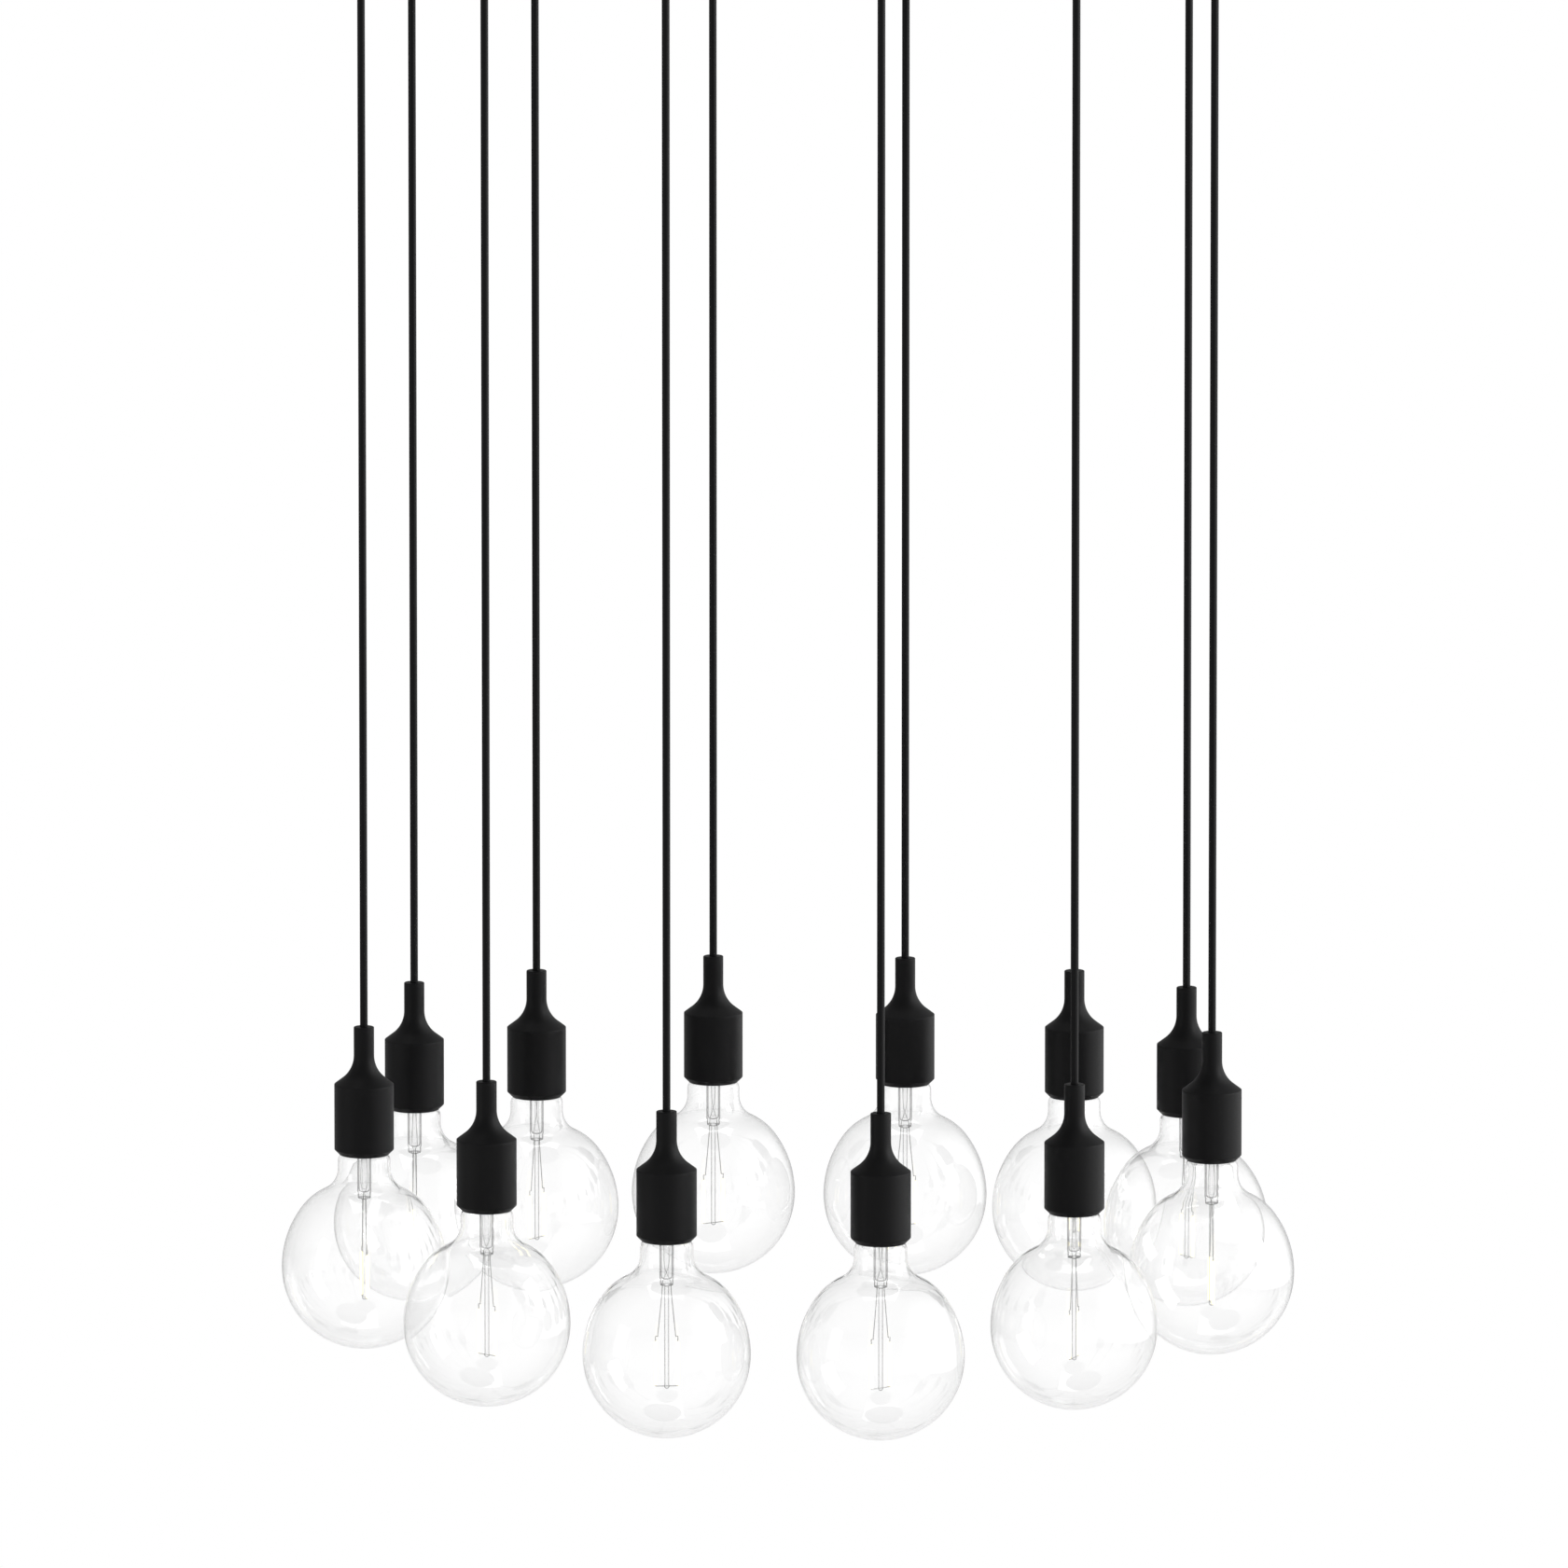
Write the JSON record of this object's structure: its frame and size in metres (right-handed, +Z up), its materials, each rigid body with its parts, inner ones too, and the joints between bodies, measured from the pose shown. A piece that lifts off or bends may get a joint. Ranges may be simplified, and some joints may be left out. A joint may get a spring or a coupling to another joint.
{
  "type": "cluster pendant light",
  "caption": "Cluster pendant: a round ceiling canopy with a ring of straight black cords, bottle-shaped silicone lampholders and large clear globe bulbs with glowing filaments.",
  "frame": {"origin": "on the ceiling plane, at the middle of the canopy, on the bracket's top face", "axes": "+Z up into the ceiling, +X to the viewer's right, +Y away from the viewer; the pendants hang towards -Z"},
  "size_m": [0.772, 0.773, 1.1795],
  "materials": {
    "black_painted_steel": "matt black powder coat",
    "zinc_steel": "zinc plated",
    "black_screw_heads": "satin black",
    "black_moulded_plastic": "fine moulded",
    "black_cord": "satin sheath",
    "white_moulded_plastic": "moulded",
    "brass": "turned",
    "grey_lead": "smooth",
    "black_silicone": "soft matt silicone",
    "clear_glass": "clear blown glass",
    "lamp_cap_metal": "rolled and plated"
  },
  "bodies": {
    "root": {"canopy_pan": "black_painted_steel", "ceiling_bracket": "zinc_steel", "canopy_screws": "black_screw_heads", "cord_grips": "black_moulded_plastic", "grip_nuts": "black_moulded_plastic", "cord_stubs": "black_cord", "terminal_block": "white_moulded_plastic", "terminal_clamps": "brass", "terminal_screws": "zinc_steel", "inner_leads": "grey_lead", "earth_terminal": "zinc_steel", "supply_saddle": "zinc_steel"},
    "pendant_01": {"cord_01": "black_cord", "socket_01": "black_silicone"},
    "bulb_travel_01": {"bulb_globe_01": "clear_glass"},
    "bulb_turn_01": {"bulb_mount_01": "lamp_cap_metal"},
    "pendant_02": {"cord_02": "black_cord", "socket_02": "black_silicone"},
    "bulb_travel_02": {"bulb_globe_02": "clear_glass"},
    "bulb_turn_02": {"bulb_mount_02": "lamp_cap_metal"},
    "pendant_03": {"cord_03": "black_cord", "socket_03": "black_silicone"},
    "bulb_travel_03": {"bulb_globe_03": "clear_glass"},
    "bulb_turn_03": {"bulb_mount_03": "lamp_cap_metal"},
    "pendant_04": {"cord_04": "black_cord", "socket_04": "black_silicone"},
    "bulb_travel_04": {"bulb_globe_04": "clear_glass"},
    "bulb_turn_04": {"bulb_mount_04": "lamp_cap_metal"},
    "pendant_05": {"cord_05": "black_cord", "socket_05": "black_silicone"},
    "bulb_travel_05": {"bulb_globe_05": "clear_glass"},
    "bulb_turn_05": {"bulb_mount_05": "lamp_cap_metal"},
    "pendant_06": {"cord_06": "black_cord", "socket_06": "black_silicone"},
    "bulb_travel_06": {"bulb_globe_06": "clear_glass"},
    "bulb_turn_06": {"bulb_mount_06": "lamp_cap_metal"},
    "pendant_07": {"cord_07": "black_cord", "socket_07": "black_silicone"},
    "bulb_travel_07": {"bulb_globe_07": "clear_glass"},
    "bulb_turn_07": {"bulb_mount_07": "lamp_cap_metal"},
    "pendant_08": {"cord_08": "black_cord", "socket_08": "black_silicone"},
    "bulb_travel_08": {"bulb_globe_08": "clear_glass"},
    "bulb_turn_08": {"bulb_mount_08": "lamp_cap_metal"},
    "pendant_09": {"cord_09": "black_cord", "socket_09": "black_silicone"},
    "bulb_travel_09": {"bulb_globe_09": "clear_glass"},
    "bulb_turn_09": {"bulb_mount_09": "lamp_cap_metal"},
    "pendant_10": {"cord_10": "black_cord", "socket_10": "black_silicone"},
    "bulb_travel_10": {"bulb_globe_10": "clear_glass"},
    "bulb_turn_10": {"bulb_mount_10": "lamp_cap_metal"},
    "pendant_11": {"cord_11": "black_cord", "socket_11": "black_silicone"},
    "bulb_travel_11": {"bulb_globe_11": "clear_glass"},
    "bulb_turn_11": {"bulb_mount_11": "lamp_cap_metal"},
    "pendant_12": {"cord_12": "black_cord", "socket_12": "black_silicone"},
    "bulb_travel_12": {"bulb_globe_12": "clear_glass"},
    "bulb_turn_12": {"bulb_mount_12": "lamp_cap_metal"}
  },
  "joints": [
    {"name": "swing_01", "type": "hinge", "parent": "root", "child": "pendant_01", "pos_m": [-0.32, 0.023, -0.051], "axis": [0.0717, 0.9974, 0], "range_deg": [-1.2, 18]},
    {"name": "bulb_out_01", "type": "slide", "parent": "pendant_01", "child": "bulb_travel_01", "axis": [0, 0, -1], "range_m": [0, 0.01632]},
    {"name": "bulb_unscrew_01", "type": "hinge", "parent": "bulb_travel_01", "child": "bulb_turn_01", "pos_m": [-0.32, 0.023, -1], "axis": [0, 0, -1], "range_deg": [0, 1620]},
    {"name": "swing_02", "type": "hinge", "parent": "root", "child": "pendant_02", "pos_m": [-0.225, -0.2, -0.051], "axis": [-0.6644, 0.7474, 0], "range_deg": [-1.2, 18]},
    {"name": "bulb_out_02", "type": "slide", "parent": "pendant_02", "child": "bulb_travel_02", "axis": [0, 0, -1], "range_m": [0, 0.01632]},
    {"name": "bulb_unscrew_02", "type": "hinge", "parent": "bulb_travel_02", "child": "bulb_turn_02", "pos_m": [-0.225, -0.2, -1], "axis": [0, 0, -1], "range_deg": [0, 1620]},
    {"name": "swing_03", "type": "hinge", "parent": "root", "child": "pendant_03", "pos_m": [-0.09, -0.32, -0.051], "axis": [-0.9627, 0.2707, 0], "range_deg": [-1.2, 18]},
    {"name": "bulb_out_03", "type": "slide", "parent": "pendant_03", "child": "bulb_travel_03", "axis": [0, 0, -1], "range_m": [0, 0.01632]},
    {"name": "bulb_unscrew_03", "type": "hinge", "parent": "bulb_travel_03", "child": "bulb_turn_03", "pos_m": [-0.09, -0.32, -1], "axis": [0, 0, -1], "range_deg": [0, 1620]},
    {"name": "swing_04", "type": "hinge", "parent": "root", "child": "pendant_04", "pos_m": [0.069, -0.328, -0.051], "axis": [-0.9786, -0.2059, 0], "range_deg": [-1.2, 18]},
    {"name": "bulb_out_04", "type": "slide", "parent": "pendant_04", "child": "bulb_travel_04", "axis": [0, 0, -1], "range_m": [0, 0.01632]},
    {"name": "bulb_unscrew_04", "type": "hinge", "parent": "bulb_travel_04", "child": "bulb_turn_04", "pos_m": [0.069, -0.328, -1], "axis": [0, 0, -1], "range_deg": [0, 1620]},
    {"name": "swing_05", "type": "hinge", "parent": "root", "child": "pendant_05", "pos_m": [0.214, -0.212, -0.051], "axis": [-0.7038, -0.7104, 0], "range_deg": [-1.2, 18]},
    {"name": "bulb_out_05", "type": "slide", "parent": "pendant_05", "child": "bulb_travel_05", "axis": [0, 0, -1], "range_m": [0, 0.01632]},
    {"name": "bulb_unscrew_05", "type": "hinge", "parent": "bulb_travel_05", "child": "bulb_turn_05", "pos_m": [0.214, -0.212, -1], "axis": [0, 0, -1], "range_deg": [0, 1620]},
    {"name": "swing_06", "type": "hinge", "parent": "root", "child": "pendant_06", "pos_m": [0.32, 0, -0.051], "axis": [0, -1, 0], "range_deg": [-1.2, 18]},
    {"name": "bulb_out_06", "type": "slide", "parent": "pendant_06", "child": "bulb_travel_06", "axis": [0, 0, -1], "range_m": [0, 0.01632]},
    {"name": "bulb_unscrew_06", "type": "hinge", "parent": "bulb_travel_06", "child": "bulb_turn_06", "pos_m": [0.32, 0, -1], "axis": [0, 0, -1], "range_deg": [0, 1620]},
    {"name": "swing_07", "type": "hinge", "parent": "root", "child": "pendant_07", "pos_m": [0.303, 0.15, -0.051], "axis": [0.4437, -0.8962, 0], "range_deg": [-1.2, 18]},
    {"name": "bulb_out_07", "type": "slide", "parent": "pendant_07", "child": "bulb_travel_07", "axis": [0, 0, -1], "range_m": [0, 0.01632]},
    {"name": "bulb_unscrew_07", "type": "hinge", "parent": "bulb_travel_07", "child": "bulb_turn_07", "pos_m": [0.303, 0.15, -1], "axis": [0, 0, -1], "range_deg": [0, 1620]},
    {"name": "swing_08", "type": "hinge", "parent": "root", "child": "pendant_08", "pos_m": [0.219, 0.258, -0.051], "axis": [0.7624, -0.6471, 0], "range_deg": [-1.2, 18]},
    {"name": "bulb_out_08", "type": "slide", "parent": "pendant_08", "child": "bulb_travel_08", "axis": [0, 0, -1], "range_m": [0, 0.01632]},
    {"name": "bulb_unscrew_08", "type": "hinge", "parent": "bulb_travel_08", "child": "bulb_turn_08", "pos_m": [0.219, 0.258, -1], "axis": [0, 0, -1], "range_deg": [0, 1620]},
    {"name": "swing_09", "type": "hinge", "parent": "root", "child": "pendant_09", "pos_m": [0.09, 0.312, -0.051], "axis": [0.9608, -0.2772, 0], "range_deg": [-1.2, 18]},
    {"name": "bulb_out_09", "type": "slide", "parent": "pendant_09", "child": "bulb_travel_09", "axis": [0, 0, -1], "range_m": [0, 0.01632]},
    {"name": "bulb_unscrew_09", "type": "hinge", "parent": "bulb_travel_09", "child": "bulb_turn_09", "pos_m": [0.09, 0.312, -1], "axis": [0, 0, -1], "range_deg": [0, 1620]},
    {"name": "swing_10", "type": "hinge", "parent": "root", "child": "pendant_10", "pos_m": [-0.057, 0.32, -0.051], "axis": [0.9845, 0.1754, 0], "range_deg": [-1.2, 18]},
    {"name": "bulb_out_10", "type": "slide", "parent": "pendant_10", "child": "bulb_travel_10", "axis": [0, 0, -1], "range_m": [0, 0.01632]},
    {"name": "bulb_unscrew_10", "type": "hinge", "parent": "bulb_travel_10", "child": "bulb_turn_10", "pos_m": [-0.057, 0.32, -1], "axis": [0, 0, -1], "range_deg": [0, 1620]},
    {"name": "swing_11", "type": "hinge", "parent": "root", "child": "pendant_11", "pos_m": [-0.192, 0.275, -0.051], "axis": [0.8199, 0.5725, 0], "range_deg": [-1.2, 18]},
    {"name": "bulb_out_11", "type": "slide", "parent": "pendant_11", "child": "bulb_travel_11", "axis": [0, 0, -1], "range_m": [0, 0.01632]},
    {"name": "bulb_unscrew_11", "type": "hinge", "parent": "bulb_travel_11", "child": "bulb_turn_11", "pos_m": [-0.192, 0.275, -1], "axis": [0, 0, -1], "range_deg": [0, 1620]},
    {"name": "swing_12", "type": "hinge", "parent": "root", "child": "pendant_12", "pos_m": [-0.284, 0.17, -0.051], "axis": [0.5136, 0.858, 0], "range_deg": [-1.2, 18]},
    {"name": "bulb_out_12", "type": "slide", "parent": "pendant_12", "child": "bulb_travel_12", "axis": [0, 0, -1], "range_m": [0, 0.01632]},
    {"name": "bulb_unscrew_12", "type": "hinge", "parent": "bulb_travel_12", "child": "bulb_turn_12", "pos_m": [-0.284, 0.17, -1], "axis": [0, 0, -1], "range_deg": [0, 1620]}
  ],
  "couplings": [
    {"joint": "bulb_unscrew_01", "follows": "bulb_out_01", "rad_per_m": 1731.6},
    {"joint": "bulb_unscrew_02", "follows": "bulb_out_02", "rad_per_m": 1731.6},
    {"joint": "bulb_unscrew_03", "follows": "bulb_out_03", "rad_per_m": 1731.6},
    {"joint": "bulb_unscrew_04", "follows": "bulb_out_04", "rad_per_m": 1731.6},
    {"joint": "bulb_unscrew_05", "follows": "bulb_out_05", "rad_per_m": 1731.6},
    {"joint": "bulb_unscrew_06", "follows": "bulb_out_06", "rad_per_m": 1731.6},
    {"joint": "bulb_unscrew_07", "follows": "bulb_out_07", "rad_per_m": 1731.6},
    {"joint": "bulb_unscrew_08", "follows": "bulb_out_08", "rad_per_m": 1731.6},
    {"joint": "bulb_unscrew_09", "follows": "bulb_out_09", "rad_per_m": 1731.6},
    {"joint": "bulb_unscrew_10", "follows": "bulb_out_10", "rad_per_m": 1731.6},
    {"joint": "bulb_unscrew_11", "follows": "bulb_out_11", "rad_per_m": 1731.6},
    {"joint": "bulb_unscrew_12", "follows": "bulb_out_12", "rad_per_m": 1731.6}
  ]
}
